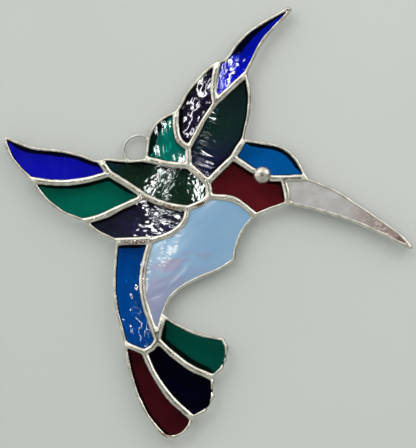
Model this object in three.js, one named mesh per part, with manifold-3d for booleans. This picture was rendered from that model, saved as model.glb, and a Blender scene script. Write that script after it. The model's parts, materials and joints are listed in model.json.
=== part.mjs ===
// Stained glass hummingbird suncatcher: sixteen panes held in one net of solder, hung by a wire ring.
// Millimetres, +Z up, the front faces -Y. The origin is the centre of the hanging ring.
import * as THREE from 'three';
import { mergeVertices } from 'three/addons/utils/BufferGeometryUtils.js';
import Module from 'manifold-3d';

const GLASS_THICK = 3.0; // sheet glass
const BEAD_RISE = 1.1; // solder above each face of the glass
const BEVEL_RISE = 0.6; // height of the bevel that rounds the solder's edges
const BEVEL_WIDTH = 0.45;
const GAP = 0.3; // clearance round everything that the solder holds

const SEAM_HALF = 1.45; // half the width of a solder seam between two panes
const RIM_WIDTH = 1.35; // width of the solder rim on the outline
const PANE_FROM_SEAM = 0.6; // glass edge to the middle of a seam
const PANE_FROM_RIM = 0.9; // glass edge to the outline
const CURVE_ERROR = 0.13; // a facet leaves its curve by no more than this

const RING_RADIUS = 7.75; // middle of the wire
const RING_WIRE = 1.4; // wire diameter
const RING_SIDES = 8;
const RING_STEPS = 32;
const RING_BEHIND = 2.6; // ring plane behind the middle of the glass

const EYE = [62.3, -12.9];
const EYE_RADIUS = 4.5;
const EYE_RISE = 3.4; // top of the dome above its flat back
const EYE_SIDES = 32;

const BLOB_RADIUS = 2.4; // solder blobs that tack the ring to the back
const BLOB_DEPTH = 1.8; // front and back of the ring plane
const BLOB_ANGLES = [42, 131, 226]; // where the ring crosses a seam, clockwise from straight up

const SOLDER = { color: 0xb9b7ab, roughness: 0.3, metalness: 1.0 };

// Where seams meet, in the plane of the glass: x to the bird's beak, y up.
const JOINTS = {
  leftTip: [-67.6, 6.6],
  leftShoulder: [-19.2, -4.9],
  ringNotch: [3.3, -4.4],
  featherTop: [19.0, 19.9],
  wingCleft: [40.2, 45.0],
  rightTip: [76.9, 70.9],
  wingStep: [54.6, 38.4],
  nape: [53.3, 5.4],
  brow: [85.2, -14.5],
  beakTip: [136.9, -48.9],
  chin: [75.2, -27.4],
  chest: [58.8, -33.6],
  belly: [49.0, -55.5],
  vent: [13.4, -82.2],
  greenCorner: [43.2, -94.0],
  greenHeel: [38.2, -113.9],
  navyHeel: [28.0, -134.2],
  rumpBase: [-6.6, -96.7],
  flank: [-11.1, -45.9],
  wingHeel: [-27.5, -35.9],
  wingEdge: [-54.6, -14.6],
  tipFork: [-14.3, -11.9],
  middleFork: [3.6, -23.4],
  wingRoot: [25.3, -29.3],
  collarLow: [36.0, -23.6],
  collarHigh: [35.0, -16.4],
  wingPit: [25.5, -8.0],
  featherFork: [25.2, 0.8],
  rightFork: [38.5, 23.4],
  crownBack: [47.6, -3.9],
  beakRoot: [72.8, -14.6],
  rumpTop: [6.6, -45.5],
  tailRoot: [10.2, -95.2],
  rumpEnd: [3.6, -101.1],
};

// The outline, clockwise: each stretch of rim is a smooth curve through its points.
const RIM = [
  ['leftTip', [[-66.4, 7.2], [-60, 4.6], [-53, 2.1], [-44, 1.1], [-36, 0], [-28, -2], [-21.5, -4.7]], 'leftShoulder'],
  ['leftShoulder', [[-16.6, -3.9], [-12, -4.1], [-4, -4.8]], 'ringNotch'],
  ['ringNotch', [[3.9, 1.6], [4.8, 7.6], [7.9, 13.0], [12.6, 17.1]], 'featherTop'],
  ['featherTop', [[20.4, 22.7], [24.1, 29.4], [29.4, 36.0], [35.2, 41.9]], 'wingCleft'],
  ['wingCleft', [[43.4, 46.0], [47.6, 52.0], [54.7, 59.6], [61.2, 64.1], [69.3, 68.7], [75.6, 71.8]], 'rightTip'],
  ['rightTip', [[75.8, 68.6], [70.2, 62.4], [64.2, 56.2], [61.2, 51.6], [58.2, 45.4]], 'wingStep'],
  ['wingStep', [[56.2, 31.0], [56.5, 24.7], [55.4, 14.6]], 'nape'],
  ['nape', [[60.5, 4.2], [69.1, 2.9], [74.9, 0.3], [79.5, -4.4], [83.6, -11.6]], 'brow'],
  ['brow', [[90.4, -16.4], [98.2, -19.9], [105.9, -24.7], [118.9, -33.4], [133, -43.9]], 'beakTip'],
  ['beakTip', [[135.6, -49.8], [123.2, -43.7], [105.8, -36.1], [90, -31.0]], 'chin'],
  ['chin', [[66.5, -30.3]], 'chest'],
  ['chest', [[54.4, -38.9], [51.4, -44.4], [49.4, -51]], 'belly'],
  ['belly', [[40.7, -60.7], [29.9, -64.9], [22.3, -69.3], [16.6, -74.6]], 'vent'],
  ['vent', [[18.9, -86.0], [30.7, -91.5]], 'greenCorner'],
  ['greenCorner', [[45.1, -98.7], [45.1, -104.4], [42.9, -109.3]], 'greenHeel'],
  ['greenHeel', [[38.6, -121.4], [37.4, -126.8], [34.4, -130.4]], 'navyHeel'],
  ['navyHeel', [[26.8, -137.6], [22.6, -142.3], [14.8, -143.6], [9.2, -138.8], [2.4, -128.8], [-4.0, -111.5]], 'rumpBase'],
  ['rumpBase', [[-11.2, -78.7], [-12.5, -66], [-11.6, -53]], 'flank'],
  ['flank', [[-20.4, -41.4]], 'wingHeel'],
  ['wingHeel', [[-38.4, -31.4], [-46.9, -24.6]], 'wingEdge'],
  ['wingEdge', [[-62.5, -6.4], [-65.6, -1.2], [-67.6, 4.4]], 'leftTip'],
];

// The seams between panes: the middle of the solder, and its half width where it is wider.
const SEAMS = [
  ['wingEdge', [[-46, -15.9], [-36, -16.3], [-24, -14.6]], 'tipFork'],
  ['leftShoulder', [], 'tipFork', 1.6],
  ['tipFork', [[-5.8, -16.9]], 'middleFork', 1.6],
  ['middleFork', [[-8, -28.5], [-16, -32.5]], 'wingHeel'],
  ['middleFork', [[10, -26.2], [18, -28.5]], 'wingRoot'],
  ['wingRoot', [[31.5, -26.9]], 'collarLow'],
  ['collarLow', [[35.7, -20]], 'collarHigh'],
  ['collarHigh', [[30.0, -12.0]], 'wingPit', 1.65],
  ['wingPit', [[15.2, -7.2]], 'ringNotch'],
  ['wingPit', [[25.2, -3.6]], 'featherFork'],
  ['featherFork', [[20.6, 4.9], [18.9, 11.6]], 'featherTop'],
  ['featherFork', [[28.7, 7.0], [32.6, 14.6], [36.0, 19.8]], 'rightFork', 1.2],
  ['rightFork', [[37.8, 31], [38.6, 38]], 'wingCleft'],
  ['rightFork', [[46, 30.8]], 'wingStep'],
  ['crownBack', [[50.3, 0.8]], 'nape'],
  ['collarHigh', [[41.2, -10.0]], 'crownBack'],
  ['crownBack', [[58.5, -11.0], [66.5, -14.3]], 'beakRoot'],
  ['beakRoot', [[79, -14.3]], 'brow', 1.6],
  ['beakRoot', [[74.2, -20.5]], 'chin'],
  ['collarLow', [[46.5, -24.6], [53.5, -28.3]], 'chest'],
  ['wingRoot', [[23.3, -36.2], [16.5, -42.1]], 'rumpTop'],
  ['rumpTop', [[-2, -45.5]], 'flank', 1.9],
  ['rumpTop', [[3.4, -58], [2.5, -68], [4.4, -79]], 'tailRoot'],
  ['tailRoot', [[7.6, -98.9]], 'rumpEnd'],
  ['rumpEnd', [[-2, -98.9]], 'rumpBase'],
  ['tailRoot', [[11.4, -89.5]], 'vent'],
  ['tailRoot', [[17.5, -102.1], [28, -109.4]], 'greenHeel'],
  ['rumpEnd', [[7.6, -110.2], [16.4, -123.4]], 'navyHeel'],
];

// Each pane: the joints round it, and the colour of its glass.
const PANES = {
  left_wing_tip: [['leftTip', 'leftShoulder', 'tipFork', 'wingEdge'], 0x0f0aa8],
  left_wing_middle: [['wingEdge', 'tipFork', 'middleFork', 'wingHeel'], 0x006048],
  left_wing_lower: [['wingHeel', 'middleFork', 'wingRoot', 'rumpTop', 'flank'], 0x1a1530],
  left_wing_covert: [
    ['leftShoulder', 'ringNotch', 'wingPit', 'collarHigh', 'collarLow', 'wingRoot', 'middleFork', 'tipFork'],
    0x0c2a22,
  ],
  back_feather: [['ringNotch', 'featherTop', 'featherFork', 'wingPit'], 0x0a7a5c],
  right_wing_inner: [['featherTop', 'wingCleft', 'rightFork', 'featherFork'], 0x241a3a],
  right_wing_tip: [['wingCleft', 'rightTip', 'wingStep', 'rightFork'], 0x0a12b8],
  right_wing_covert: [
    ['wingStep', 'nape', 'crownBack', 'collarHigh', 'wingPit', 'featherFork', 'rightFork'],
    0x0f1f2c,
  ],
  crown: [['nape', 'brow', 'beakRoot', 'crownBack'], 0x0a66a8],
  throat: [['crownBack', 'beakRoot', 'chin', 'chest', 'collarLow', 'collarHigh'], 0x5a0a12],
  beak: [['brow', 'beakTip', 'chin', 'beakRoot'], 0xc8bec0],
  breast: [['collarLow', 'chest', 'belly', 'vent', 'tailRoot', 'rumpTop', 'wingRoot'], 0x90b0d8],
  rump: [['flank', 'rumpTop', 'tailRoot', 'rumpEnd', 'rumpBase'], 0x084890],
  tail_green: [['vent', 'greenCorner', 'greenHeel', 'tailRoot'], 0x003f2c],
  tail_navy: [['tailRoot', 'greenHeel', 'navyHeel', 'rumpEnd'], 0x06062a],
  tail_red: [['rumpEnd', 'navyHeel', 'rumpBase'], 0x380a10],
};

// Curves in the plane

function sampleCurve(points) {
  const curve = new THREE.CatmullRomCurve3(points.map(([x, y]) => new THREE.Vector3(x, y, 0)), false, 'centripetal');
  return curve.getSpacedPoints(Math.ceil(curve.getLength())).map((p) => new THREE.Vector2(p.x, p.y));
}

const edges = [...RIM.map((e) => [...e, true]), ...SEAMS.map((e) => [...e.slice(0, 3), false, e[3] ?? SEAM_HALF])].map(
  ([from, through, to, onRim, half]) => ({
    from,
    to,
    onRim,
    half,
    line: sampleCurve([JOINTS[from], ...through, JOINTS[to]]),
  }),
);

// The edge from one joint to the next, with its line running that way.
function edgeBetween(from, to) {
  const edge = edges.find((e) => (e.from === from && e.to === to) || (e.from === to && e.to === from));
  return { ...edge, line: edge.from === from ? edge.line : [...edge.line].reverse() };
}

function sideOf(a, b, p) {
  return (b.x - a.x) * (p.y - a.y) - (b.y - a.y) * (p.x - a.x);
}

// The line moved to its right hand side, which is inside a clockwise loop.
function offsetLine(line, distance) {
  return line.map((p, i) => {
    const ahead = line[Math.min(i + 1, line.length - 1)].clone().sub(line[Math.max(i - 1, 0)]).normalize();
    return new THREE.Vector2(p.x + ahead.y * distance, p.y - ahead.x * distance);
  });
}

function crossing(a, b, c, d) {
  const alongAB = sideOf(c, d, a) / (sideOf(c, d, a) - sideOf(c, d, b));
  return a.clone().lerp(b, alongAB);
}

// Ends one line and starts the next where they cross, or at the middle of the corner.
function trimCorner(before, after) {
  for (let i = 1; i < before.length; i++) {
    for (let j = after.length - 1; j > 0; j--) {
      const [a, b, c, d] = [before[i - 1], before[i], after[j - 1], after[j]];
      if (sideOf(a, b, c) * sideOf(a, b, d) < 0 && sideOf(c, d, a) * sideOf(c, d, b) < 0) {
        const corner = crossing(a, b, c, d);
        before.splice(i, before.length, corner);
        after.splice(0, j, corner.clone());
        return;
      }
    }
  }
  const corner = before.at(-1).clone().lerp(after[0], 0.5);
  before[before.length - 1] = corner;
  after[0] = corner.clone();
}

// The fewest of a line's points that keep every facet within CURVE_ERROR of it.
function facet(line) {
  const [first, last] = [line[0], line.at(-1)];
  const length = first.distanceTo(last);
  let worst = 0;
  let at = 0;
  line.slice(1, -1).forEach((p, i) => {
    const off = Math.abs(sideOf(first, last, p)) / length;
    if (off > worst) [worst, at] = [off, i + 1];
  });
  if (worst < CURVE_ERROR) return [first, last];
  return [...facet(line.slice(0, at + 1)), ...facet(line.slice(at)).slice(1)];
}

// A pane's loop, set in from the seams and the rim round it.
function paneLoop(joints, fromSeam, fromRim) {
  const lines = joints.map((joint, i) => {
    const edge = edgeBetween(joint, joints[(i + 1) % joints.length]);
    return offsetLine(edge.line, edge.onRim ? fromRim : fromSeam(edge));
  });
  lines.forEach((line, i) => trimCorner(line, lines[(i + 1) % lines.length]));
  return lines.flatMap((line) => facet(line).slice(1));
}

const glassLoop = (joints) => paneLoop(joints, () => PANE_FROM_SEAM, PANE_FROM_RIM);
const clearLoop = (joints) => paneLoop(joints, () => PANE_FROM_SEAM - GAP, PANE_FROM_RIM - GAP);
const windowLoop = (joints) => paneLoop(joints, (edge) => edge.half, RIM_WIDTH);

// Solids

const wasm = await Module();
wasm.setup();

function toSolid(geometry) {
  const bare = geometry.clone();
  bare.deleteAttribute('normal');
  bare.deleteAttribute('uv');
  const merged = mergeVertices(bare);
  const mesh = new wasm.Mesh({
    numProp: 3,
    vertProperties: new Float32Array(merged.attributes.position.array),
    triVerts: new Uint32Array(merged.index.array),
  });
  return new wasm.Manifold(mesh);
}

function toGeometry(solid) {
  const { vertProperties, triVerts } = solid.getMesh();
  const geometry = new THREE.BufferGeometry();
  geometry.setAttribute('position', new THREE.Float32BufferAttribute(vertProperties, 3));
  geometry.setIndex([...triVerts]);
  geometry.computeVertexNormals();
  return geometry;
}

// A loop extruded to the same height on both sides of the middle of the glass.
function slab(loop, height) {
  const geometry = new THREE.ExtrudeGeometry(new THREE.Shape(loop), { depth: 2 * height, bevelEnabled: false });
  return geometry.translate(0, 0, -height);
}

function solderPlate() {
  const shape = new THREE.Shape(RIM.flatMap(([from, , to]) => facet(edgeBetween(from, to).line).slice(1)));
  shape.holes = Object.values(PANES).map(([joints]) => new THREE.Path(windowLoop(joints).reverse()));
  const wall = GLASS_THICK / 2 + BEAD_RISE - BEVEL_RISE;
  const bevel = { bevelThickness: BEVEL_RISE, bevelSize: BEVEL_WIDTH, bevelOffset: -BEVEL_WIDTH, bevelSegments: 1 };
  return new THREE.ExtrudeGeometry(shape, { depth: 2 * wall, ...bevel }).translate(0, 0, -wall);
}

function ringGeometry(wire, sides) {
  const section = Array.from({ length: sides }, (_, i) => {
    const turn = (2 * Math.PI * i) / sides;
    return new THREE.Vector2(RING_RADIUS + (wire / 2) * Math.cos(turn), (wire / 2) * Math.sin(turn));
  });
  const ring = new THREE.LatheGeometry([...section, section[0]], RING_STEPS);
  return ring.rotateX(Math.PI / 2).translate(0, 0, -RING_BEHIND);
}

function blobGeometry(angle) {
  const turn = THREE.MathUtils.degToRad(angle);
  const blob = new THREE.SphereGeometry(BLOB_RADIUS, 12, 8).rotateX(Math.PI / 2);
  return blob
    .scale(1, 1, BLOB_DEPTH / BLOB_RADIUS)
    .translate(RING_RADIUS * Math.sin(turn), RING_RADIUS * Math.cos(turn), -RING_BEHIND);
}

function eyeGeometry() {
  const profile = [[0, 0], [1, 0], [0.98, 0.3], [0.85, 0.62], [0.6, 0.86], [0.3, 0.97], [0, 1]];
  const points = profile.map(([r, h]) => new THREE.Vector2(r * EYE_RADIUS, h * EYE_RISE));
  return new THREE.LatheGeometry(points, EYE_SIDES).rotateX(Math.PI / 2);
}

// The solder net: the beaded plate and the ring's blobs, less room for the glass, the ring and the eye.
function solderNet() {
  const blobs = BLOB_ANGLES.map((angle) => toSolid(blobGeometry(angle)));
  const body = blobs.reduce((net, blob) => net.add(blob), toSolid(solderPlate()));
  const panes = Object.values(PANES).map(([joints]) => toSolid(slab(clearLoop(joints), GLASS_THICK / 2 + GAP)));
  const eyeSeat = new THREE.CylinderGeometry(EYE_RADIUS + GAP, EYE_RADIUS + GAP, 2 * EYE_RISE, EYE_SIDES)
    .rotateX(Math.PI / 2)
    .translate(...EYE, GLASS_THICK / 2 + EYE_RISE);
  const cuts = [...panes, toSolid(ringGeometry(RING_WIRE + 2 * GAP, RING_SIDES)), toSolid(eyeSeat)];
  return toGeometry(cuts.reduce((net, cut) => net.subtract(cut), body));
}

function addPiece(group, name, geometry, look) {
  const mesh = new THREE.Mesh(geometry, new THREE.MeshStandardMaterial(look));
  mesh.name = name;
  group.add(mesh);
  return mesh;
}

const bird = new THREE.Group();
for (const [name, [joints, color]] of Object.entries(PANES)) {
  const look = { color, roughness: 0.08, metalness: 0, transparent: true, opacity: 0.85 };
  addPiece(bird, name, slab(glassLoop(joints), GLASS_THICK / 2), look);
}
addPiece(bird, 'solder_lines', solderNet(), SOLDER);
addPiece(bird, 'hanging_ring', ringGeometry(RING_WIRE, RING_SIDES), { ...SOLDER, color: 0xc4c3bc });
addPiece(bird, 'eye_bead', eyeGeometry(), SOLDER).position.set(...EYE, GLASS_THICK / 2 + GAP);

// Stood upright, with the ring's centre at the origin.
bird.rotation.x = Math.PI / 2;
bird.position.y = -RING_BEHIND;
const suncatcher = new THREE.Group();
suncatcher.add(bird);

export default suncatcher;
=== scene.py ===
"""The looks of the stained glass hummingbird suncatcher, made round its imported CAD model.

Frame: metres, +Z up, the front faces -Y, the origin is the centre of the hanging ring. The shapes are
worked out in millimetres in the plane of the glass, as x to the beak and z up, and depths are measured
from the middle of the glass.
"""
import json
import math

import bpy
import numpy as np
from mathutils import Matrix, Quaternion, Vector


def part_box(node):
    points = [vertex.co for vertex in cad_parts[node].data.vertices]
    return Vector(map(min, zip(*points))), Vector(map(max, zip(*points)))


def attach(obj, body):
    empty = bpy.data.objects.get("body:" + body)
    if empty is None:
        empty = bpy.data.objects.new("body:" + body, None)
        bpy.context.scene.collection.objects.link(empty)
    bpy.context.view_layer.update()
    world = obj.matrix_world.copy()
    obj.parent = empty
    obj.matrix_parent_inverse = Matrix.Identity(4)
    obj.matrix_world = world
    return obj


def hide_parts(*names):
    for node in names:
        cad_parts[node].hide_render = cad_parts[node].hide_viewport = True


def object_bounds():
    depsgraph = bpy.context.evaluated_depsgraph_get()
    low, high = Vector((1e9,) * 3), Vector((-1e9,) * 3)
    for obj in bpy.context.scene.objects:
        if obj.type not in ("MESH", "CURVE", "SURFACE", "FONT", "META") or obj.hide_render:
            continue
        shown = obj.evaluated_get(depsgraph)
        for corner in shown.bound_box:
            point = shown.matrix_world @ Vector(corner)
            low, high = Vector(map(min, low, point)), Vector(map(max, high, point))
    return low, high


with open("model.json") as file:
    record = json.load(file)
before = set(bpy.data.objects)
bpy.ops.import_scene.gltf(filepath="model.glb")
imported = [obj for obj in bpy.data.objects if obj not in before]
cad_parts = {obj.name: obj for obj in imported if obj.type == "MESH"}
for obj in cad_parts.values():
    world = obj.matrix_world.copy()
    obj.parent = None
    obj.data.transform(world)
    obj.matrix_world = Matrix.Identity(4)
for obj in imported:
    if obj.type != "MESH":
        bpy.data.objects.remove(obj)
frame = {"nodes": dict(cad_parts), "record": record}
cad_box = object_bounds()

MM = 0.001
NET = "solder_lines"
RING = "hanging_ring"
EYE = "eye_bead"
SLOTS = {part["node"]: part["material_slot"] for part in frame["record"]["subparts"]}
PANES = [node for node in SLOTS if node not in (NET, RING, EYE)]


def corners(node):
    """A CAD node's box in millimetres: lowest and highest corner."""
    low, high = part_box(node)
    return np.array(low) / MM, np.array(high) / MM


GLASS_FRONT, GLASS_BACK = (corner[1] for corner in corners("breast"))
MIDDLE = (GLASS_FRONT + GLASS_BACK) / 2
GLASS_HALF = (GLASS_BACK - GLASS_FRONT) / 2
BEAD_TOP = MIDDLE - corners(NET)[0][1]

GRID = 0.35  # pitch of the grid that the solder and the panes are meshed on
REACH = 5.0  # distances to the edges are measured this far
PANE_STEP = 2  # a pane's mesh takes every second point of the grid

# The panes' looks: the tint is the light that comes through, turns are in degrees from the x axis. Waves are
# ripples of both faces (length, width, turn, slope), and the foil is the side that the lap behind shows on
# (direction, width, and where). Ovals are centre, half length, half width, turn and strength. On opal panes
# the glint colour is a painted highlight, painted into the base colour inside the fine ovals.

PANE_LAP = 0.4  # a pane's mesh runs this far under the solder
LOOKS = {
    "left_wing_tip": dict(
        tint=(0.006976, 0.008435, 0.97),
        streak=(0.01776, 0.0211, 0.97),
        streaks=(5.0, (1, 1, 5), 0),
        waves=[(3, 12, 5, 0.003)],
        foil=(95, 1.6),
    ),
    "left_wing_middle": dict(
        tint=(0.0002323, 0.2333, 0.1572),
        streak=(0.0002323, 0.2682, 0.1874),
        waves=[(8, 5, -20, 0.002)],
        foil=(95, 1.3),
    ),
    "left_wing_lower": dict(
        tint=(0.02628, 0.03095, 0.05725),
        streak=(0.03753, 0.03095, 0.1054),
        waves=[(2.8, 1.0, -6, 0.022), (12, 6, 0, 0.002)],
        step=1,
        foil=(110, 0.8),
    ),
    "left_wing_covert": dict(
        tint=(0.00894, 0.04011, 0.02412),
        streak=(0.01788, 0.05156, 0.03014),
        fade=((0.00894, 0.05729, 0.07536), 0, -6, -14),
        waves=[(6, 9, 60, 0.001), (0.75, 0.75, 60, 0.0032)],
        step=1,
        foil=(90, 0.6),
    ),
    "back_feather": dict(
        tint=(4e-06, 0.3742, 0.2934),
        streak=(4e-06, 0.3293, 0.2548),
        waves=[(1.3, 6, 8, 0.0035)],
        step=1,
        foil=(155, 2.4),
    ),
    "right_wing_inner": dict(
        tint=(0.020, 0.014, 0.06),
        streak=(0.022, 0.010, 0.035),
        waves=[(4, 1.8, 45, 0.002), (1.4, 1.4, 0, 0.003)],
        step=1,
        foil=(150, 1.2),
    ),
    "right_wing_tip": dict(
        tint=(0.00048, 0.002619, 0.97),
        streak=(0.0007202, 0.02182, 0.97),
        waves=[(6, 9, 30, 0.001), (0.9, 1.4, -10, 0.0055)],
        step=1,
        foil=(128, 3.3, (60, 58, 16, 9, 55, 1)),
    ),
    "right_wing_covert": dict(
        tint=(0.0136, 0.0485, 0.04056),
        streak=(0.017, 0.04158, 0.05214),
        fade=((0.02041, 0.01663, 0.0869), 2, 8, -10),
        waves=[(10, 14, 60, 0.001), (6, 0.7, -18, 0.02)],
        step=1,
        foil=(0, 0.9),
    ),
    "crown": dict(
        tint=(0.0002505, 0.2038, 0.799),
        streak=(0.0002505, 0.2329, 0.8989),
        waves=[(5, 2, -15, 0.003)],
        foil=(50, 1.4),
    ),
    "throat": dict(
        tint=(0.1792, 0.0135, 0.01885),
        streak=(0.2464, 0.01799, 0.0264),
        waves=[(8, 6, 0, 0.002)],
        foil=(60, 0.9),
    ),
    "rump": dict(
        tint=(2.698e-05, 0.116, 0.6322),
        streak=(2.698e-05, 0.1381, 0.6775),
        streaks=(6.0, (1, 1, 4), 0),
        waves=[(1.5, 2.2, 10, 0.006)],
        step=1,
        foil=(90, 1.2),
    ),
    "tail_green": dict(
        tint=(0.0002505, 0.1186, 0.0877),
        streak=(0.0002505, 0.134, 0.09841),
        waves=[(8, 5, -20, 0.002)],
        foil=(215, 2.2),
    ),
    "tail_navy": dict(
        tint=(0.0001002, 9.523e-05, 0.009259),
        streak=(0.0002004, 0.0001269, 0.01666),
        waves=[(8, 5, -30, 0.002)],
        foil=(90, 0.3),
    ),
    "tail_red": dict(
        tint=(0.0836, 0.006812, 0.01338),
        streak=(0.1115, 0.009083, 0.01672),
        waves=[(8, 5, 50, 0.002)],
        foil=(200, 0.9),
    ),
    "breast": dict(
        tint=(0.235, 0.41, 0.61),
        cloud=(0.275, 0.43, 0.60),
        streak=(0.30, 0.30, 0.45),
        # painted highlight: the colour of the white glints painted into the fine ovals
        glint=(0.85, 0.93, 0.95),
        fade=((0.25, 0.285, 0.44), 2, -54, -72),
        streaks=(7.0, (3.5, 1, 1), -28),
        waves=[(4.5, 1.3, 35, 0.008)],
        step=1,
        wisp=[(18, -60, 22, 7, 20, 1), (12, -74, 12, 5, 30, 0.7)],
        # fine: the patches where the painted highlights go
        fine=[(15, -51, 9, 4, 60, 0.7), (5, -64, 10, 1.5, 80, 0.7), (21, -41, 4, 2, 40, 0.5)],
    ),
    "beak": dict(
        tint=(0.46, 0.43, 0.42),
        cloud=(0.52, 0.52, 0.52),
        streak=(0.30, 0.21, 0.19),
        # painted highlight: whitish sparkle painted into the fine patch near the tip
        glint=(0.55, 0.45, 0.42),
        fade=((0.15, 0.085, 0.075), 0, 100, 130),
        streaks=(2.0, (2, 1, 1), 35),
        waves=[(6, 2.5, 35, 0.003), (0.9, 0.9, 0, 0.008)],
        step=1,
        wisp=[(124, -41, 18, 8, -33, 1)],
        # fine: the patch where the painted sparkle goes
        fine=[(118, -36, 14, 4, -33, 0.8)],
    ),
}

# Bare copper that the solder didn't cover, and bumps where it was put on thick, at the ends of the tail.
COPPER = [
    (-1.5, -46.5, 6, 0.9, 0, 1),
    (4, -25, 4, 0.8, -20, 0.8),
    (16.5, -28.8, 6, 0.7, -8, 1),
    (31.5, -27.2, 2.4, 0.9, 25, 1),
    (19, 6, 6, 0.6, -60, 0.5),
    (2, -131, 12, 1.4, -60, 0.6),
    (12, -141.5, 6, 1.2, -15, 0.7),
]
KNOBBLY = [(42, -103, 12, 5, 80, 1), (34, -123, 12, 5, 65, 1), (22, -139, 10, 4, 40, 0.7)]

# The solder

SECTION_DEPTH = 1.9  # the CAD net is cut here, clear of the glass and of the bevelled edges
CORNER_ROUND = 0.32  # blur that rounds the corners of the windows
OUTLINE_ROUND = 0.15  # the outline moves no further than this when it is smoothed
BEAD_HALF = 1.5  # the bead reaches its full height this far from the glass
SEAM_RISE = 1.0  # bead above the glass along a seam
RIM_RISE = 0.62  # and along the outline
RIM_ROUND = 1.15  # radius of the rim's outer edge
RIM_FLAT = 0.55  # half height of the rim's outer side
LAP_DEPTH = 0.06  # the thin edge of the solder lies this far below the face of the glass
RIM_MARGIN = 0.3  # the solder's edges further in than this are round windows
SOLDER_SPREAD = 0.12  # the solder runs this far past the edge of the foil
BEHIND_INSET = 0.45  # the lap behind stops this short of the outline
BEHIND_RISE = 0.04  # and stands this far above the back of the solder that it covers
BEHIND_STEP = 2  # it is seen through the glass and from behind, so its mesh is coarser
BLOB_RADIUS = 2.1  # solder that tacks the ring to the back
BLOB_ANGLES = (42, 131, 226)  # where the ring crosses a seam, clockwise from straight up


def section(node, depth):
    """The closed loops where the plane at a depth before the middle of the glass cuts a CAD node."""
    y = MIDDLE - depth
    mesh = frame["nodes"][node].data
    mesh.calc_loop_triangles()
    points = np.array([v.co for v in mesh.vertices]) / MM
    ends = {}
    for triangle in mesh.loop_triangles:
        cut = []
        corner = [tuple(points[i]) for i in triangle.vertices]
        for a, b in zip(corner, corner[1:] + corner[:1]):
            if (a[1] > y) != (b[1] > y):
                a, b = sorted((a, b))
                part = (y - a[1]) / (b[1] - a[1])
                cut.append((a[0] + part * (b[0] - a[0]), a[2] + part * (b[2] - a[2])))
        if len(cut) == 2 and cut[0] != cut[1]:
            ends.setdefault(cut[0], []).append(cut[1])
            ends.setdefault(cut[1], []).append(cut[0])
    loops = []
    while ends:
        loop = [next(iter(ends))]
        while loop[-1] in ends:
            ahead = [p for p in ends.pop(loop[-1]) if p in ends]
            if ahead:
                loop.append(ahead[0])
        loops.append(np.array(loop))
    return loops


def area(loop):
    ahead = np.roll(loop, -1, axis=0)
    return abs(np.sum(loop[:, 0] * ahead[:, 1] - ahead[:, 0] * loop[:, 1])) / 2


def box_gap(loop, node):
    """How much a loop's box differs from a pane's."""
    low, high = corners(node)
    return np.abs(loop.min(0) - low[[0, 2]]).sum() + np.abs(loop.max(0) - high[[0, 2]]).sum()


front_loops = section(NET, SECTION_DEPTH)
back_loops = section(NET, -SECTION_DEPTH)
outline = max(front_loops, key=area)
windows = {pane: min(front_loops + back_loops, key=lambda loop: box_gap(loop, pane)) for pane in PANES}

low, high = corners(NET)
grid_x = np.arange(low[0] - 1, high[0] + 1, GRID)
grid_z = np.arange(low[2] - 1, high[2] + 1, GRID)
X, Z = np.meshgrid(grid_x, grid_z)


def inside(loop):
    """How far inside a loop each point of the grid lies, up to REACH, and less than nothing outside."""
    away = np.full(X.shape, REACH)
    within = np.zeros(X.shape, bool)
    for (ax, az), (bx, bz) in zip(loop, np.roll(loop, -1, axis=0)):
        left, right = np.searchsorted(grid_x, [min(ax, bx) - REACH, max(ax, bx) + REACH])
        bottom, top = np.searchsorted(grid_z, [min(az, bz) - REACH, max(az, bz) + REACH])
        near = np.s_[bottom:top, left:right]
        dx, dz = bx - ax, bz - az
        px, pz = X[near] - ax, Z[near] - az
        along = np.clip((px * dx + pz * dz) / (dx * dx + dz * dz), 0, 1)
        away[near] = np.minimum(away[near], np.hypot(px - along * dx, pz - along * dz))
        if az != bz:
            rows = (grid_z > min(az, bz)) & (grid_z <= max(az, bz))
            crossed = ax + (grid_z[rows] - az) * dx / dz
            within[rows] ^= grid_x[None, :] > crossed[:, None]
    return np.where(within, away, -away)


def blur(field, size):
    """The field smoothed by a Gaussian of that size in millimetres."""
    reach = int(3 * size / GRID)
    weights = np.exp(-0.5 * (np.arange(-reach, reach + 1) * GRID / size) ** 2)
    weights /= weights.sum()
    for axis in (0, 1):
        padding = [(reach, reach) if a == axis else (0, 0) for a in (0, 1)]
        padded = np.pad(field, padding, mode="edge")
        count = field.shape[axis]
        field = sum(w * padded.take(range(i, i + count), axis) for i, w in enumerate(weights))
    return field


def spline(t):
    """Weights of the four lattice points round a place, by the uniform cubic B-spline."""
    return (1 - t) ** 3 / 6, (3 * t**3 - 6 * t**2 + 4) / 6, (-3 * t**3 + 3 * t**2 + 3 * t + 1) / 6, t**3 / 6


def noise(u, v, seed):
    """Smooth seeded noise, about -1 to 1, on a lattice one unit wide."""
    table = np.random.default_rng(seed).uniform(-1.6, 1.6, (256, 256))
    iu, iv = np.floor(u).astype(int), np.floor(v).astype(int)
    return sum(
        wu * wv * table[(iu + a) % 256, (iv + b) % 256]
        for a, wu in enumerate(spline(u - iu))
        for b, wv in enumerate(spline(v - iv))
    )


def ramp(value, start, end):
    """0 up to start, 1 from end, and smooth between them."""
    t = np.clip((value - start) / (end - start), 0, 1)
    return t * t * (3 - 2 * t)


def round_edge(distance, radius):
    """Height of a quarter round, from 0 at its edge to 1 at the radius."""
    return np.sqrt(1 - (1 - np.clip(distance / radius, 0, 1)) ** 2)


def pick(field, points):
    """The values of a field of the grid at points between its lines."""
    u = np.clip((points[:, 0] - grid_x[0]) / GRID, 0, len(grid_x) - 1.001)
    v = np.clip((points[:, 1] - grid_z[0]) / GRID, 0, len(grid_z) - 1.001)
    i, j = u.astype(int), v.astype(int)
    s, t = u - i, v - j
    lower = field[j, i] * (1 - s) + field[j, i + 1] * s
    upper = field[j + 1, i] * (1 - s) + field[j + 1, i + 1] * s
    return lower * (1 - t) + upper * t


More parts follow.
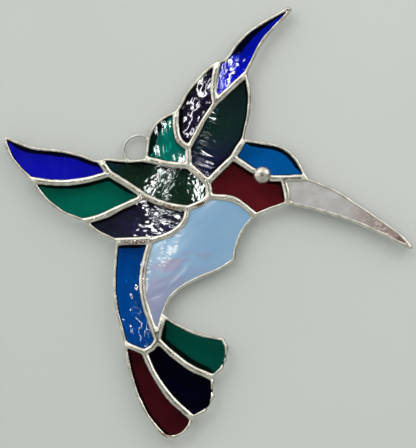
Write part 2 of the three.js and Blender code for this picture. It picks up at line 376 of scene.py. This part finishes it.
def region(field, step):
    """Where a field of the grid is positive: its points, faces and the edges round it, counter-clockwise."""
    values = field[::step, ::step]
    xs, zs = grid_x[::step], grid_z[::step]
    points, index = [], {}

    def vertex(key, x, z):
        if key not in index:
            index[key] = len(points)
            points.append((x, z))
        return index[key]

    def on_edge(a, b):
        a, b = sorted((a, b))
        part = np.clip(values[a] / (values[a] - values[b]), 0.12, 0.88)
        x = xs[a[1]] + part * (xs[b[1]] - xs[a[1]])
        z = zs[a[0]] + part * (zs[b[0]] - zs[a[0]])
        return vertex((a, b), x, z)

    solid = values > 0
    used = solid[:-1, :-1] | solid[1:, :-1] | solid[:-1, 1:] | solid[1:, 1:]
    faces = []
    for j, i in np.argwhere(used).tolist():
        ring = [(j, i), (j, i + 1), (j + 1, i + 1), (j + 1, i)]
        face = []
        for a, b in zip(ring, ring[1:] + ring[:1]):
            if solid[a]:
                face.append(vertex(a, xs[a[1]], zs[a[0]]))
            if solid[a] != solid[b]:
                face.append(on_edge(a, b))
        faces.append(face)
    sides = {(a, b) for face in faces for a, b in zip(face, face[1:] + face[:1])}
    return np.array(points), faces, sorted((a, b) for a, b in sides if (b, a) not in sides)


def closed_body(field, step, front, back):
    """A closed body over a region of the grid: its points, the faces of its two sheets and of its walls.

    front and back give its depth at each point.
    """
    points, faces, rim = region(field, step)
    count = len(points)
    before = np.column_stack([points[:, 0], MIDDLE - front(points), points[:, 1]])
    behind = np.column_stack([points[:, 0], MIDDLE + back(points), points[:, 1]])
    turned = [[i + count for i in reversed(face)] for face in faces]
    walls = [[b, a, a + count, b + count] for a, b in rim]
    return np.vstack([before, behind]), faces + turned, walls


def outward(points, faces):
    """The faces of a closed body, turned so that they point out."""
    volume = 0
    for face in faces:
        first = points[face[0]]
        for a, b in zip(face[1:-1], face[2:]):
            volume += np.dot(first, np.cross(points[a], points[b]))
    return faces if volume > 0 else [face[::-1] for face in faces]


def tube(rows, closed):
    """Faces over rows of points that run round: the last row joins the first, or both are capped."""
    count, sides = len(rows), len(rows[0])
    faces = []
    for i in range(count if closed else count - 1):
        here, there = i * sides, (i + 1) % count * sides
        for j in range(sides):
            k = (j + 1) % sides
            faces.append([here + j, here + k, there + k, there + j])
    if not closed:
        faces += [list(range(sides))[::-1], list(range((count - 1) * sides, count * sides))]
    points = np.array(rows).reshape(-1, 3)
    return points, outward(points, faces)


def piece(name, points, faces, node, materials, sharp=60):
    """A smooth mesh piece, in millimetres, put in place of a CAD node, which is hidden."""
    mesh = bpy.data.meshes.new(name)
    mesh.from_pydata((np.asarray(points) * MM).tolist(), [], faces)
    mesh.shade_smooth()
    mesh.set_sharp_from_angle(angle=math.radians(sharp))
    for material in materials:
        mesh.materials.append(material)
    made = bpy.data.objects.new(name, mesh)
    bpy.context.scene.collection.objects.link(made)
    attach(made, "root")
    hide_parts(node)
    return made


def attribute(made, name, values):
    made.data.attributes.new(name, "FLOAT", "POINT").data.foreach_set("value", np.asarray(values, np.float32))


# Material nodes


def linear(code):
    """A colour as the screen's hexadecimal, in linear light."""
    parts = [int(code[i : i + 2], 16) / 255 for i in (0, 2, 4)]
    return tuple(p / 12.92 if p < 0.04045 else ((p + 0.055) / 1.055) ** 2.4 for p in parts)


class Shader:
    """A new material with its nodes at hand."""

    def __init__(self, name, **values):
        self.material = bpy.data.materials.new(name)
        self.material.use_nodes = True
        self.tree = self.material.node_tree
        self.surface = self.tree.nodes["Principled BSDF"]
        self.place = self.node("ShaderNodeTexCoord").outputs["Object"]
        for socket, value in values.items():
            self.surface.inputs[socket.replace("_", " ")].default_value = value

    def node(self, kind, **settings):
        made = self.tree.nodes.new(kind)
        for name, value in settings.items():
            setattr(made, name, value)
        return made

    def feed(self, socket, value):
        """Links an output to a socket, or sets the socket to a plain value."""
        if isinstance(value, bpy.types.NodeSocket):
            self.tree.links.new(value, socket)
        elif value is not None:
            socket.default_value = value

    def math(self, operation, a, b=None):
        made = self.node("ShaderNodeMath", operation=operation)
        self.feed(made.inputs[0], a)
        self.feed(made.inputs[1], b)
        return made.outputs[0]

    def grain(self, size, detail=2.0, stretch=(1, 1, 1), turn=0.0, distortion=0.0):
        """Noise, 0 to 1, with features about size mm wide, stretched along its axes after a turn in the plane."""
        mapped = self.node("ShaderNodeMapping")
        mapped.inputs["Rotation"].default_value = (0, math.radians(turn), 0)
        mapped.inputs["Scale"].default_value = [1 / (s * size * MM) for s in stretch]
        self.feed(mapped.inputs["Vector"], self.place)
        made = self.node("ShaderNodeTexNoise")
        made.inputs["Scale"].default_value = 1.0
        made.inputs["Detail"].default_value = detail
        made.inputs["Distortion"].default_value = distortion
        self.feed(made.inputs["Vector"], mapped.outputs[0])
        return made.outputs["Fac"]

    def steps(self, value, low, high, to_low=0.0, to_high=1.0):
        """The value taken smoothly from one range to another."""
        made = self.node("ShaderNodeMapRange", interpolation_type="SMOOTHSTEP")
        for socket, given in zip(made.inputs, (value, low, high, to_low, to_high)):
            self.feed(socket, given)
        return made.outputs[0]

    def mix(self, share, a, b):
        made = self.node("ShaderNodeMix", data_type="RGBA")
        self.feed(made.inputs["Factor"], share)
        for name, colour in (("A", a), ("B", b)):
            socket = next(s for s in made.inputs if s.name == name and s.type == "RGBA")
            self.feed(socket, (*colour, 1) if isinstance(colour, tuple) else colour)
        return next(s for s in made.outputs if s.type == "RGBA")

    def fade(self, colour, look):
        """The colour, going over to the look's far tint along an axis if it has one."""
        if "fade" not in look:
            return colour
        far_tint, axis, start, end = look["fade"]
        across = self.node("ShaderNodeSeparateXYZ")
        self.feed(across.inputs[0], self.place)
        return self.mix(self.steps(across.outputs[axis], start * MM, end * MM), colour, far_tint)

    def read(self, name):
        return self.node("ShaderNodeAttribute", attribute_name=name).outputs["Fac"]

    def bump(self, height, depth, below=None):
        """A bump of that depth in millimetres, over another one."""
        made = self.node("ShaderNodeBump")
        made.inputs["Strength"].default_value = 1.0
        made.inputs["Distance"].default_value = depth * MM
        self.feed(made.inputs["Height"], height)
        if below is not None:
            self.feed(made.inputs["Normal"], below)
        return made.outputs[0]

    def done(self, colour=None, roughness=None, normal=None):
        for socket, value in (("Base Color", colour), ("Roughness", roughness), ("Normal", normal)):
            self.feed(self.surface.inputs[socket], value)
        return self.material


def solder_metal(name, tone, shade, bare_copper):
    """Bright tinned metal: faintly cloudy, satin, with dull spots, and bare copper where it is marked."""
    s = Shader(name, Metallic=1.0)
    colour = s.mix(s.steps(s.grain(4, 2), 0.35, 0.65), linear(shade), linear(tone))
    dull = s.steps(s.grain(1.6, 3), 0.6, 0.72)
    colour = s.mix(s.math("MULTIPLY", dull, 0.3), colour, linear("8d877a"))
    roughness = s.steps(s.grain(2.5, 3), 0.35, 0.7, 0.16, 0.28)
    if bare_copper:
        bare = s.math("MULTIPLY", s.read("copper"), s.steps(s.grain(1.2, 3), 0.4, 0.55))
        colour = s.mix(bare, colour, linear("74462f"))
    return s.done(colour, roughness, s.bump(s.grain(1.6, 1), 0.02))


def clear_glass(name, look):
    """Cathedral glass: its tint seen through the pane, with streaks and a fade to others, and a fine grain."""
    s = Shader(name, Transmission_Weight=1.0, IOR=1.5, Roughness=0.02)
    size, stretch, turn = look.get("streaks", (9.0, (3, 1, 1), 0))
    streaks = s.steps(s.grain(size, 2, stretch, turn, 0.4), 0.3, 0.7)
    colour = s.mix(streaks, look["tint"], look["streak"])
    colour = s.fade(colour, look)
    return s.done(colour, None, s.bump(s.grain(1.5, 1), 0.002))


def opal_glass(name, look):
    """Milky glass that lets a little light through, with wisps of a second colour in the first, and painted
    highlights: white glints painted into the base colour in the patches marked fine.
    """
    s = Shader(name, Transmission_Weight=0.12, IOR=1.5, Roughness=0.08)
    size, stretch, turn = look["streaks"]
    cloud = s.steps(s.grain(2.2 * size, 2, (1.5, 1, 1), turn, 0.5), 0.35, 0.7)
    wisps = s.math("MULTIPLY", s.steps(s.grain(size, 3, stretch, turn, 1.2), 0.42, 0.68), s.read("wisp"))
    colour = s.mix(wisps, s.fade(s.mix(cloud, look["tint"], look["cloud"]), look), look["streak"])
    # Painted highlight: the glint colour is painted into the base colour in the fine patches
    glint = s.math("MULTIPLY", s.steps(s.grain(1.2, 3, (1.8, 1, 1), 55, 0.6), 0.5, 0.62), s.read("fine"))
    colour = s.mix(glint, colour, look["glint"])
    return s.done(colour, None, s.bump(s.grain(1.2, 2), 0.004))


def patches(x, z, ovals):
    """1 inside the ovals and 0 outside them."""
    most = np.zeros(np.shape(x))
    for middle_x, middle_z, half_long, half_wide, turn, strength in ovals:
        c, s = math.cos(math.radians(turn)), math.sin(math.radians(turn))
        dx, dz = x - middle_x, z - middle_z
        away = np.hypot((dx * c + dz * s) / half_long, (dz * c - dx * s) / half_wide)
        most = np.maximum(most, strength * (1 - ramp(away, 0.75, 1.15)))
    return most


# The net of solder

rim_in = inside(outline)
smooth_rim = blur(rim_in, 0.7)
rim_in -= np.clip(rim_in - smooth_rim, -OUTLINE_ROUND, OUTLINE_ROUND)
pane_in = {pane: inside(windows[pane]) for pane in PANES}
from_glass = blur(-np.max(list(pane_in.values()), axis=0), CORNER_ROUND)
junction = ramp(from_glass, 1.4, 2.3)
from_glass += SOLDER_SPREAD + 0.16 * noise(X / 3.4, Z / 3.4, 1)
wobble = 0.16 * noise(X / 3.1, Z / 3.1, 2) + 0.12 * noise(X / 1.3, Z / 1.3, 3)
knobs = patches(X, Z, KNOBBLY) * noise(X / 1.7, Z / 1.7, 4)
rim_in += wobble + 0.3 * junction - 0.08 + 0.8 * knobs
to_box = np.min([X - low[0], high[0] - X, Z - low[2], high[2] - Z], axis=0)
solder_in = np.min([rim_in, from_glass, to_box], axis=0)

# How far the foil behind shows past the solder in front: more along the edges on one side of a pane.
foil_width = np.full(X.shape, 0.35) + 0.15 * noise(X / 4, Z / 4, 6)
for pane, look in LOOKS.items():
    if "foil" in look:
        angle, width, *where = look["foil"]
        slope_z, slope_x = np.gradient(blur(pane_in[pane], 1.0), GRID)
        outward_part = -(slope_x * math.cos(math.radians(angle)) + slope_z * math.sin(math.radians(angle)))
        near = (pane_in[pane] > -1.5) * (patches(X, Z, where) if where else 1)
        foil_width += near * width * ramp(outward_part, 0.25, 0.75) * (1 + 0.25 * noise(X / 7, Z / 7, 7))
from_foil = from_glass + foil_width
behind_in = np.min([from_foil, rim_in - BEHIND_INSET, to_box - BEHIND_INSET], axis=0)


def bead(from_pane, seed):
    """Depth of one face of the solder: beads that rise from the glass and roll over at the outline."""
    rise = RIM_RISE + (SEAM_RISE - RIM_RISE) * ramp(rim_in, 0.9, 3.2)
    lumpy = 1 + 0.16 * noise(X / 5.3, Z / 5.3, seed) + 0.04 * noise(X / 2.3, Z / 2.3, seed + 1) + 0.7 * knobs
    drawn = 0.02 * np.cos(2 * math.pi * from_pane / 1.1 + 1.5 * noise(X / 6, Z / 6, seed + 2))
    face = GLASS_HALF - LAP_DEPTH + (rise * lumpy + drawn) * round_edge(from_pane, BEAD_HALF)
    return np.minimum(RIM_FLAT + (face - RIM_FLAT) * round_edge(rim_in, RIM_ROUND), BEAD_TOP)


front_face = bead(from_glass, 11)
back_face = bead(from_glass, 21)
hind_face = bead(from_foil, 21) + BEHIND_RISE
net_points, net_sheets, net_walls = closed_body(
    solder_in, 1, lambda at: pick(front_face, at), lambda at: pick(back_face, at)
)
foil_points, foil_sheets, foil_walls = closed_body(
    behind_in, BEHIND_STEP, lambda at: LAP_DEPTH - GLASS_HALF + 0 * at[:, 0], lambda at: pick(hind_face, at)
)

ring_low, ring_high = corners(RING)
ring_centre = (ring_low + ring_high) / 2
WIRE = (ring_high[1] - ring_low[1]) / 2
RING_RADIUS = (ring_high[0] - ring_low[0]) / 2 - WIRE
BLOB_DEPTH = corners(NET)[1][1] - ring_centre[1]


def circle(centre, across, count=20, phase=0.0):
    """Points round a centre, in a plane that faces the front."""
    turns = [2 * math.pi * j / count + phase for j in range(count)]
    return [centre + across * np.array([math.cos(t), 0, math.sin(t)]) for t in turns]


def solder_blob(angle):
    """A flattened drop of solder where the ring crosses a seam."""
    turn = math.radians(angle)
    centre = ring_centre + RING_RADIUS * np.array([math.sin(turn), 0, math.cos(turn)])
    rises = np.radians(np.linspace(-84, 84, 12))
    rows = []
    for rise in rises:
        row = circle(centre + [0, BLOB_DEPTH * math.sin(rise), 0], BLOB_RADIUS * math.cos(rise))
        rows.append([centre + (p - centre) * (0.95 + 0.05 * math.sin(1.7 * p[0] + 1.3 * p[2])) for p in row])
    return tube(rows, False)


net_faces = net_sheets + net_walls
foil_first = len(net_faces)
joined = [(foil_points, foil_sheets + foil_walls)] + [solder_blob(angle) for angle in BLOB_ANGLES]
for more_points, more_faces in joined:
    net_faces += [[i + len(net_points) for i in face] for face in more_faces]
    net_points = np.vstack([net_points, more_points])

solder = solder_metal("solder_metal", "d5d1c6", "bab6aa", True)
foil = Shader("foil_back", Metallic=0.6)
foil_tone = foil.mix(foil.steps(foil.grain(1.5, 2), 0.4, 0.6), linear("15110e"), linear("2a1c14"))
net = piece("solder_net", net_points, net_faces, NET, [solder, foil.done(foil_tone, 0.5)])
attribute(net, "copper", patches(net_points[:, 0], net_points[:, 2], COPPER))
wall_middles = np.array([net_points[wall].mean(0)[[0, 2]] for wall in net_walls])
for i, depth in enumerate(pick(rim_in, wall_middles)):
    if depth > RIM_MARGIN:
        net.data.polygons[len(net_sheets) + i].material_index = 1
for i in range(foil_first, foil_first + len(foil_sheets) // 2):
    net.data.polygons[i].material_index = 1

# The ring and the eye


def wire_ring():
    """The tinned wire ring, a little uneven."""
    steps, sides = 120, 14
    rows = []
    for i in range(steps):
        turn = 2 * math.pi * i / steps
        out = np.array([math.sin(turn), 0, math.cos(turn)])
        middle = ring_centre + out * (RING_RADIUS - 0.06 + 0.05 * math.sin(2 * turn + 1))
        wire = WIRE * (0.97 + 0.02 * math.sin(9 * turn) * math.sin(4 * turn + 2))
        angles = [2 * math.pi * j / sides for j in range(sides)]
        rows.append([middle + wire * (math.cos(a) * out + math.sin(a) * np.array([0, 1, 0])) for a in angles])
    return tube(rows, True)


def eye_drop():
    """The eye: a round drop of solder, flat behind."""
    eye_low, eye_high = corners(EYE)
    centre = (eye_low + eye_high) / 2
    radius = (eye_high[0] - eye_low[0]) / 2
    depth = eye_high[1] - eye_low[1]
    rows = []
    for rise in np.radians(np.linspace(0, 88, 26)):
        at = np.array([centre[0], eye_high[1] - depth * math.sin(rise) ** 0.95, centre[2]])
        rows.append(circle(at, radius * 0.99 * math.cos(rise) ** 0.9, 64))
    return tube(rows, False)


piece("wire_ring", *wire_ring(), RING, [solder_metal("tinned_wire_metal", "c6c5bf", "a8a7a1", False)])
piece("eye_drop", *eye_drop(), EYE, [solder_metal("eye_metal", "c9c4bb", "aca69b", False)])

# The panes


def waves(at, kinds, seed):
    """Height of the ripples of a pane: for each kind its size along and across, its turn and its slope."""
    height = 0
    for i, (along, across, turn, slope) in enumerate(kinds):
        c, s = math.cos(math.radians(turn)), math.sin(math.radians(turn))
        u = (at[:, 0] * c + at[:, 1] * s) / along
        v = (at[:, 1] * c - at[:, 0] * s) / across
        height = height + slope * min(along, across) * noise(u + 50, v + 50, seed + i)
    return height


for order, (pane, look) in enumerate(LOOKS.items()):
    opal = "cloud" in look
    glass = (opal_glass if opal else clear_glass)(SLOTS[pane], look)

    def face(at):
        return GLASS_HALF + waves(at, look["waves"], 100 + 10 * order)

    def rear(at):
        return GLASS_HALF + waves(at, look["waves"], 300 + 10 * order)

    shape = np.minimum(pane_in[pane] + PANE_LAP, to_box)
    points, sheets, walls = closed_body(shape, look.get("step", PANE_STEP), face, rear)
    made = piece(pane + "_glass", points, sheets + walls, pane, [glass])
    # fine marks where the painted highlights go, wisp where the second colour shows
    for name in ("fine", "wisp") if opal else ():
        attribute(made, name, patches(points[:, 0], points[:, 2], look.get(name, ())))
    if not opal:
        made.visible_shadow = False
        made.visible_diffuse = False

# The stage

WALL_GAP = 0.5  # from the hindmost point of the part to the wall
wall_y = cad_box[1].y + WALL_GAP * MM
FLOOR = cad_box[0].z - 0.4
WALL_HALF, WALL_HEIGHT, FLOOR_DEPTH, COVE = 3.0, 2.5, 3.0, 0.1


def pale(name, one_sided):
    s = Shader(name, Roughness=0.9)
    shade = s.mix(s.steps(s.grain(180, 2), 0.3, 0.7), linear("c2c4c0"), linear("bec1be"))
    material = s.done(shade)
    if one_sided:
        output = s.tree.nodes["Material Output"]
        blend = s.node("ShaderNodeMixShader")
        s.feed(blend.inputs[0], s.node("ShaderNodeNewGeometry").outputs["Backfacing"])
        s.feed(blend.inputs[1], s.surface.outputs[0])
        s.feed(blend.inputs[2], s.node("ShaderNodeBsdfTransparent").outputs[0])
        s.feed(output.inputs["Surface"], blend.outputs[0])
    return material


def stage(name, points, faces, material):
    mesh = bpy.data.meshes.new(name)
    mesh.from_pydata(points, [], faces)
    mesh.materials.append(material)
    made = bpy.data.objects.new(name, mesh)
    bpy.context.scene.collection.objects.link(made)
    return made


wall = stage(
    "wall",
    [(x, wall_y, z) for z in (FLOOR, FLOOR + WALL_HEIGHT) for x in (-WALL_HALF, WALL_HALF)],
    [(0, 1, 3, 2)],
    pale("wall_paint", True),
)
wall.visible_glossy = False
floor = stage(
    "floor",
    [(x, y, FLOOR) for y in (-FLOOR_DEPTH, FLOOR_DEPTH) for x in (-WALL_HALF, WALL_HALF)],
    [(0, 1, 3, 2)],
    pale("floor_paint", False),
)

# Camera and lights

CAMERA_TURN = math.radians(4)
CAMERA_RISE = math.radians(-5)
CAMERA_ROLL = math.radians(0.17)
CAMERA_AWAY = 1.5
VIEW_HEIGHT = 0.2234  # what the picture's height takes in at the part
SENSOR = 36.0
FRONT = Vector((0, -1, 0))
view_centre = Vector((0.0351, MIDDLE * MM, -0.0371))
toward_camera = Vector((
    math.sin(CAMERA_TURN) * math.cos(CAMERA_RISE),
    -math.cos(CAMERA_TURN) * math.cos(CAMERA_RISE),
    math.sin(CAMERA_RISE),
))

camera_data = bpy.data.cameras.new("camera")
camera_data.sensor_width = SENSOR
camera_data.lens = SENSOR * CAMERA_AWAY / VIEW_HEIGHT
camera = bpy.data.objects.new("camera", camera_data)
bpy.context.scene.collection.objects.link(camera)
camera.location = view_centre + toward_camera * CAMERA_AWAY
camera.rotation_mode = "QUATERNION"
camera.rotation_quaternion = (-toward_camera).to_track_quat("-Z", "Y") @ Quaternion((0, 0, 1), CAMERA_ROLL)
bpy.context.scene.camera = camera


def lamp(name, place, aim, upright, width, height, radiance):
    """A rectangular lamp of that radiance. Its height runs along the upright direction."""
    data = bpy.data.lights.new(name, "AREA")
    data.shape = "RECTANGLE"
    data.size, data.size_y = width, height
    data.energy = radiance * math.pi * width * height
    made = bpy.data.objects.new(name, data)
    bpy.context.scene.collection.objects.link(made)
    back = (place - aim).normalized()
    side = upright.cross(back).normalized()
    made.matrix_world = Matrix((side, back.cross(side), back)).transposed().to_4x4()
    made.location = place
    made.visible_camera = False
    return made


def mirror_place(x, z, away):
    """Where a lamp hangs, that far from the glass, to be mirrored at that place of it (mm) for the camera."""
    spot = Vector((x * MM, GLASS_FRONT * MM, z * MM))
    ray = (spot - camera.location).normalized()
    return spot + (ray - 2 * ray.dot(FRONT) * FRONT) * away


def strip_lamp(name, start, end, width, radiance, away=1.0):
    """A strip lamp whose mirror image in the glass runs from start to end and is width mm wide."""
    a, b = mirror_place(*start, away), mirror_place(*end, away)
    grown = (CAMERA_AWAY + away) / CAMERA_AWAY
    lamp(name, (a + b) / 2, view_centre, b - a, width * MM * grown, (b - a).length, radiance)


lamp("key", Vector((-0.55, -1.0, 1.0)), view_centre, Vector((0, 0, 1)), 0.9, 0.9, 1.3)
lamp("fill", Vector((0.55, -0.35, 0.35)), Vector((0.1, 0, 0.05)), Vector((0, 0, 1)), 0.4, 0.4, 2.2)
strip_lamp("wing_patch", (9, -41), (7, -30), 7, 35)
strip_lamp("covert_left", (13, -8), (5, -23), 1.6, 40)
strip_lamp("covert_middle", (18, -9), (12.5, -26), 0.9, 40)
strip_lamp("covert_right", (30, -13), (31, -25), 2.6, 40)
strip_lamp("inner_high", (31, 27), (35, 36), 1.8, 35)
strip_lamp("inner_low", (25, 7), (29, 24), 1.5, 35)
strip_lamp("tip_dashes", (39, 27), (47, 48), 1.6, 45)
strip_lamp("scratches", (28, -4), (35, 4), 1.2, 10)
strip_lamp("feather_high", (12, 8), (14, 14), 1.1, 40)
strip_lamp("feather_low", (11, -1.5), (11.5, 2), 2.2, 40)
strip_lamp("feather_corner", (21, -5.5), (22, -3), 2.5, 40)
strip_lamp("breast_side", (19, -42), (4, -72), 2.0, 30)
strip_lamp("rump_spots", (-0.5, -80), (4.5, -96), 0.9, 22)
strip_lamp("beak_sparkle", (112, -33), (132, -47), 1.6, 18)

# The studio's light: brighter from above and the left, dim behind the board, and dark round the camera's
# mirror image.


def direction_part(tree, direction, toward, low, high, strengths):
    """A strength that goes smoothly between two as the light's direction turns toward one."""
    facing = tree.nodes.new("ShaderNodeVectorMath")
    facing.operation = "DOT_PRODUCT"
    facing.inputs[1].default_value = Vector(toward).normalized()
    tree.links.new(direction, facing.inputs[0])
    fade = tree.nodes.new("ShaderNodeMapRange")
    fade.interpolation_type = "SMOOTHSTEP"
    for socket, value in zip(fade.inputs[1:5], (low, high, *strengths)):
        socket.default_value = value
    tree.links.new(facing.outputs["Value"], fade.inputs[0])
    return fade.outputs[0]


def product(tree, a, b):
    made = tree.nodes.new("ShaderNodeMath")
    made.operation = "MULTIPLY"
    tree.links.new(a, made.inputs[0])
    tree.links.new(b, made.inputs[1])
    return made.outputs[0]


world = bpy.data.worlds.new("studio")
bpy.context.scene.world = world
world.use_nodes = True
tree = world.node_tree
direction = tree.nodes.new("ShaderNodeTexCoord").outputs["Generated"]
mirrored = (-toward_camera.x, toward_camera.y, -toward_camera.z)
above = direction_part(tree, direction, (-0.5, -0.2, 0.8), -0.9, 0.9, (0.3, 1.42))
behind = direction_part(tree, direction, (0, 1, 0), -0.15, 0.25, (1.0, 0.6))
lens = direction_part(tree, direction, mirrored, math.cos(math.radians(18)), math.cos(math.radians(8)), (1.0, 0.02))
tree.links.new(product(tree, product(tree, above, behind), lens), tree.nodes["Background"].inputs["Strength"])
tree.nodes["Background"].inputs["Color"].default_value = (0.98, 1.0, 0.98, 1)

bpy.context.scene.view_settings.view_transform = "Standard"
